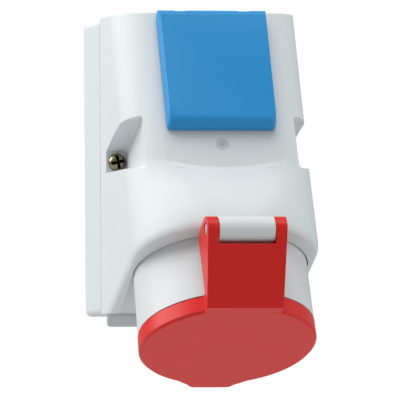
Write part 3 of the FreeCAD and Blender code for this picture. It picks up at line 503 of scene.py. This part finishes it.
def grid_mesh(name, points, closed):
    """A mesh from a grid of points, rows by columns; closed joins the last column to the first."""
    rows, columns = points.shape[:2]
    spans = columns if closed else columns - 1
    row = np.arange(rows - 1)[:, None]
    column = np.arange(spans)[None, :]
    after = (column + 1) % columns
    corners = [row * columns + column, row * columns + after,
               (row + 1) * columns + after, (row + 1) * columns + column]
    faces = np.stack(corners, axis=-1).reshape(-1, len(corners))
    mesh = bpy.data.meshes.new(name)
    mesh.vertices.add(rows * columns)
    mesh.vertices.foreach_set("co", points.reshape(-1))
    mesh.loops.add(faces.size)
    mesh.loops.foreach_set("vertex_index", faces.reshape(-1).astype(np.int32))
    mesh.polygons.add(len(faces))
    mesh.polygons.foreach_set("loop_start", np.arange(0, faces.size, len(corners), dtype=np.int32))
    mesh.update(calc_edges=True)
    mesh.shade_smooth()
    return mesh


# Computed surfaces


def polar_grid(radii, spokes):
    """Grids of radius and angle for rings about an axis."""
    around = np.linspace(0, 2 * np.pi, spokes, endpoint=False)
    return np.meshgrid(radii, around, indexing="ij")


def bar_mask(along, across, bar, reach):
    """One bar of the cross: 1 over its floor, falling to 0 up its walls and at its ends."""
    wall = bar * CROSS_WALL
    return np.clip((bar - np.abs(along)) / wall, 0, 1) * np.clip((reach - np.abs(across)) / wall, 0, 1)


def screw_surface(radius, head, shank, length, turn):
    """A pan-head screw as rings of points about its axis, and how deep each point lies in the cross.
    Over the head the height is head * (1 - (r / radius)^2.8)^(1/2), lowered by a cross whose bars have
    level floors and walls that rise over a fifth of the bar's half width; below it the rings step in to
    the shank and close at the tip. The rings crowd towards the rim by the sine of an even angle."""
    rings = radius * np.sin(np.linspace(0, np.pi / 2, SCREW_RINGS))
    r, a = polar_grid(rings, SCREW_SPOKES)
    across = r * np.cos(a - turn)
    along = r * np.sin(a - turn)
    bar = CROSS_BAR * radius
    reach = CROSS_REACH * radius
    cross = np.maximum(bar_mask(along, across, bar, reach), bar_mask(across, along, bar, reach))
    dome = np.sqrt(np.clip(1 - (r / radius) ** HEAD_POWER, 0, 1))
    height = head * dome - CROSS_DEPTH * head * cross
    below_r = np.repeat([[shank], [shank], [0.0]], SCREW_SPOKES, axis=1)
    below = np.repeat([[0.0], [-length], [-length]], SCREW_SPOKES, axis=1)
    r = np.concatenate([r, below_r])
    a = np.concatenate([a, a[:len(below)]])
    height = np.concatenate([height, below])
    recess = np.concatenate([cross, np.zeros_like(below)])
    return np.stack([r * np.cos(a), -height, r * np.sin(a)], axis=-1), recess


def sample_out(node, x, up):
    """How far out a node's front lies in the socket's frame, at each x and up."""
    mesh = frame["nodes"][node].data
    tree = BVHTree.FromPolygons([v.co for v in mesh.vertices], [p.vertices for p in mesh.polygons])
    inward = Vector((0, math.cos(TILT), -math.sin(TILT)))
    found = np.empty(x.shape)
    for index in np.ndindex(x.shape):
        _, _, _, reach = tree.ray_cast(tilted_point(x[index], SAMPLE_OUT, up[index]), inward)
        found[index] = SAMPLE_OUT - reach
    return found


def smooth_step(share):
    """An S-shaped rise: s^2 * (3 - 2 s), with s held between 0 and 1."""
    share = np.clip(share, 0, 1)
    return share * share * (3 - 2 * share)


def smoothed(values, passes):
    """Values averaged with their neighbours along both directions, pass after pass."""
    for _ in range(passes):
        padded = np.pad(values, 1, mode="edge")
        values = (padded[:-2, 1:-1] + padded[2:, 1:-1] + padded[1:-1, :-2] + padded[1:-1, 2:]) / 4
    return values


def field_ledge_surface():
    """The soft ledge along the field's lower arc. With d the distance below the arc, the surface rises
    from the field at a slope of 0.6 from d = -1.3 mm to d = 1.5 mm; beyond, what it stands above the
    moulding fades by a smooth step over 9 mm, and towards the arc's ends the whole fades by another.
    The sheet's border sinks under the moulding over its last millimetre."""
    side = FIELD_HALF + SHEET_MARGIN
    x = np.linspace(-side, side, SHEET_COLUMNS)
    drop = np.linspace(-SHEET_ABOVE, SHEET_BELOW, SHEET_ROWS)
    drop, x = np.meshgrid(drop, x, indexing="ij")
    radius = (FIELD_HALF ** 2 + ARC_RISE ** 2) / (2 * ARC_RISE)
    up = ARC_MID_UP + radius - np.sqrt(radius ** 2 - x ** 2) - drop
    base = sample_out("cover", x, up)
    slope = FIELD_OUT + LEDGE_SLOPE * np.clip(drop + LEDGE_ABOVE, 0, LEDGE_ABOVE + LEDGE_BELOW)
    proud = np.clip(slope - base, 0, None) * (1 - smooth_step((drop - LEDGE_BELOW) / LEDGE_FADE))
    ends = smooth_step((FIELD_HALF - np.abs(x)) / LEDGE_END)
    border = np.minimum(side - np.abs(x), np.minimum(drop - drop.min(), drop.max() - drop))
    sunk = SHEET_SINK * (1 - smooth_step(border / SHEET_MARGIN))
    out = smoothed(base + proud * ends, SHEET_PASSES) + SHEET_LIFT - sunk
    return np.stack([x, *tilted_span(out, up)], axis=-1)


def gate_mark_surface():
    """A dish about the mark's axis. With s the distance from the axis as a share of the mark's radius,
    its depth is 0.3 mm * (1 - (s / 0.85)^2) up to s = 0.85, and a bead at the rim stands 0.12 mm high
    by a squared sine over the last fifth."""
    share, a = polar_grid(np.linspace(0, 1, MARK_RINGS), MARK_SPOKES)
    dish = -DISH_DEPTH * (1 - np.clip(share / DISH_SHARE, 0, 1) ** 2)
    rim = np.clip((share - (1 - BEAD_SHARE)) / BEAD_SHARE, 0, 1)
    bead = BEAD_HEIGHT * np.sin(np.pi * rim) ** 2
    out = FIELD_OUT + MARK_LIFT + dish + bead
    up = MARK_UP + MARK_RADIUS * share * np.sin(a)
    return np.stack([MARK_RADIUS * share * np.cos(a), *tilted_span(out, up)], axis=-1)


# Steps, each with its operator


class SOCKET_OT_shells(bpy.types.Operator):
    """Replace the moulded pieces by joined copies with softened edges."""

    bl_idname = "socket.shells"
    bl_label = "Moulded shells"
    bl_options = {"REGISTER", "UNDO"}

    def execute(self, context):
        settings = context.scene.socket_moulding
        for node in SHELLS:
            shell_copy(node, node + "_shell", settings.edge)
        shell_copy("blue_lid", "blue_lid_shell", settings.lid_edge)
        return {"FINISHED"}


class SOCKET_OT_cover_screws(bpy.types.Operator):
    """Turn the cover screws as smooth surfaces with a cross recess."""

    bl_idname = "socket.cover_screws"
    bl_label = "Cover screws"
    bl_options = {"REGISTER", "UNDO"}

    def execute(self, context):
        source = frame["nodes"]["cover_screws"].data
        points = np.empty(len(source.vertices) * 3)
        source.vertices.foreach_get("co", points)
        low, high = points.reshape(-1, 3).min(axis=0), points.reshape(-1, 3).max(axis=0)
        radius = (high[2] - low[2]) / 2
        length = high[1] - low[1] - SCREW_HEAD_HEIGHT
        for side, name, turn in COVER_SCREWS:
            surface, recess = screw_surface(radius, SCREW_HEAD_HEIGHT, SCREW_SHANK_RADIUS, length, turn)
            surface += (side * (high[0] - radius), low[1] + SCREW_HEAD_HEIGHT, high[2] - radius)
            mesh = grid_mesh(name, surface, True)
            # The recess share carries the painted shade of the cross into the metal finish
            mesh.attributes.new("recess", "FLOAT", "POINT").data.foreach_set("value", recess.reshape(-1))
            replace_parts(place(name, mesh, "root", "yellow_zinc"), "cover_screws")
        return {"FINISHED"}


class SOCKET_OT_field_ledge(bpy.types.Operator):
    """The rounded ledge along the lower edge of the field under the blue lid."""

    bl_idname = "socket.field_ledge"
    bl_label = "Field ledge"
    bl_options = {"REGISTER", "UNDO"}

    def execute(self, context):
        mesh = grid_mesh("field_ledge", field_ledge_surface(), False)
        place("field_ledge", mesh, "root", "housing")
        return {"FINISHED"}


class SOCKET_OT_gate_mark(bpy.types.Operator):
    """The dish that the moulding gate leaves on the field."""

    bl_idname = "socket.gate_mark"
    bl_label = "Gate mark"
    bl_options = {"REGISTER", "UNDO"}

    def execute(self, context):
        mesh = grid_mesh("gate_mark", gate_mark_surface(), True)
        place("gate_mark", mesh, "root", "housing", "gate_mark")
        return {"FINISHED"}


class SOCKET_OT_fittings(bpy.types.Operator):
    """Paint the pieces that keep their CAD form."""

    bl_idname = "socket.fittings"
    bl_label = "Fittings"
    bl_options = {"REGISTER", "UNDO"}

    def execute(self, context):
        for node, piece in frame["nodes"].items():
            if piece.hide_render:
                continue
            if not piece.data.materials:
                piece.data.materials.append(None)
            for material_slot in piece.material_slots:
                material_slot.material = finish_for(slot_of(node))
        return {"FINISHED"}


class SOCKET_OT_stage(bpy.types.Operator):
    """Floor, backdrop, lights and the photograph's camera."""

    bl_idname = "socket.stage"
    bl_label = "Stage"
    bl_options = {"REGISTER", "UNDO"}

    def execute(self, context):
        settings = context.scene.socket_stage
        make_floor(settings)
        make_world(settings)
        for name, location, size, setting in LIGHTS:
            add_area(name, location, size, getattr(settings, setting))
        make_camera(settings)
        return {"FINISHED"}


def make_floor(settings):
    """A plain pale sheet of paper, well below the part."""
    low = CAD_BOX[0][2] - settings.floor
    side = (-FLOOR_HALF, FLOOR_HALF)
    points = np.array([[(x, y, low) for x in side] for y in side])
    floor = bpy.data.objects.new("floor", grid_mesh("floor", points, False))
    bpy.context.scene.collection.objects.link(floor)
    material, tree, shader = new_material("Studio paper")
    fibre = object_noise(tree, FIBRE_SCALE).outputs["Fac"]
    tree.links.new(tint(tree, fibre, PAPER, PAPER_SPREAD), shader.inputs["Base Color"])
    shader.inputs["Roughness"].default_value = PAPER_ROUGHNESS
    floor.data.materials.append(material)


def make_world(settings):
    """An even sky for light and a white one for the camera."""
    world = bpy.data.worlds.new("Studio")
    world.use_nodes = True
    tree = world.node_tree
    tree.nodes.clear()
    light = tree.nodes.new("ShaderNodeBackground")
    light.inputs["Color"].default_value = WHITE
    light.inputs["Strength"].default_value = settings.sky
    seen = tree.nodes.new("ShaderNodeBackground")
    seen.inputs["Color"].default_value = WHITE
    path = tree.nodes.new("ShaderNodeLightPath")
    mix = tree.nodes.new("ShaderNodeMixShader")
    output = tree.nodes.new("ShaderNodeOutputWorld")
    tree.links.new(path.outputs["Is Camera Ray"], mix.inputs["Fac"])
    tree.links.new(light.outputs["Background"], mix.inputs[1])
    tree.links.new(seen.outputs["Background"], mix.inputs[2])
    tree.links.new(mix.outputs["Shader"], output.inputs["Surface"])
    bpy.context.scene.world = world


def add_area(name, location, size, power):
    """A round area light that faces the part."""
    lamp = bpy.data.lights.new(name, "AREA")
    lamp.shape = "DISK"
    lamp.size = size
    lamp.energy = power
    holder = bpy.data.objects.new(name, lamp)
    holder.location = location
    facing = Vector(LIGHT_AIM) - Vector(location)
    holder.rotation_euler = facing.to_track_quat("-Z", "Y").to_euler()
    bpy.context.scene.collection.objects.link(holder)


def make_camera(settings):
    """The photograph's camera, from its angles, distance and lens."""
    azimuth = math.radians(settings.azimuth)
    elevation = math.radians(settings.elevation)
    back = Vector((math.sin(azimuth) * math.cos(elevation), -math.cos(azimuth) * math.cos(elevation),
                   math.sin(elevation)))
    data = bpy.data.cameras.new("camera")
    data.lens = settings.lens
    data.sensor_width = SENSOR_WIDTH
    data.clip_end = CLIP_END
    camera = bpy.data.objects.new("camera", data)
    turn = back.to_track_quat("Z", "Y").to_matrix().to_4x4()
    roll = Matrix.Rotation(math.radians(-settings.roll), 4, "Z")
    camera.matrix_world = Matrix.Translation(Vector(settings.aim) + back * settings.distance) @ turn @ roll
    bpy.context.scene.collection.objects.link(camera)
    bpy.context.scene.camera = camera
    bpy.context.scene.view_settings.view_transform = "Standard"


class SOCKET_PT_panel(bpy.types.Panel):
    """Settings and steps in the sidebar."""

    bl_idname = "SOCKET_PT_panel"
    bl_label = "Wall socket"
    bl_space_type = "VIEW_3D"
    bl_region_type = "UI"
    bl_category = "Wall socket"

    def draw(self, context):
        for group in (context.scene.socket_moulding, context.scene.socket_finishes,
                      context.scene.socket_stage):
            box = self.layout.box()
            for name in group.bl_rna.properties.keys():
                if name not in ("rna_type", "name"):
                    box.prop(group, name)
        for step in STEPS:
            self.layout.operator("socket." + step)


STEPS = ("shells", "cover_screws", "field_ledge", "gate_mark", "fittings", "stage")
CLASSES = (MouldingSettings, FinishSettings, StageSettings, SOCKET_OT_shells, SOCKET_OT_cover_screws,
           SOCKET_OT_field_ledge, SOCKET_OT_gate_mark, SOCKET_OT_fittings, SOCKET_OT_stage,
           SOCKET_PT_panel)


def register():
    """Register the classes and hang the settings on the scene."""
    for item in CLASSES:
        bpy.utils.register_class(item)
    bpy.types.Scene.socket_moulding = PointerProperty(type=MouldingSettings)
    bpy.types.Scene.socket_finishes = PointerProperty(type=FinishSettings)
    bpy.types.Scene.socket_stage = PointerProperty(type=StageSettings)


def unregister():
    """Take the settings and the classes away again."""
    del bpy.types.Scene.socket_stage
    del bpy.types.Scene.socket_finishes
    del bpy.types.Scene.socket_moulding
    for item in reversed(CLASSES):
        bpy.utils.unregister_class(item)


def main():
    """Run every step in order."""
    register()
    for step in STEPS:
        getattr(bpy.ops.socket, step)()


if __name__ == "__main__":
    main()
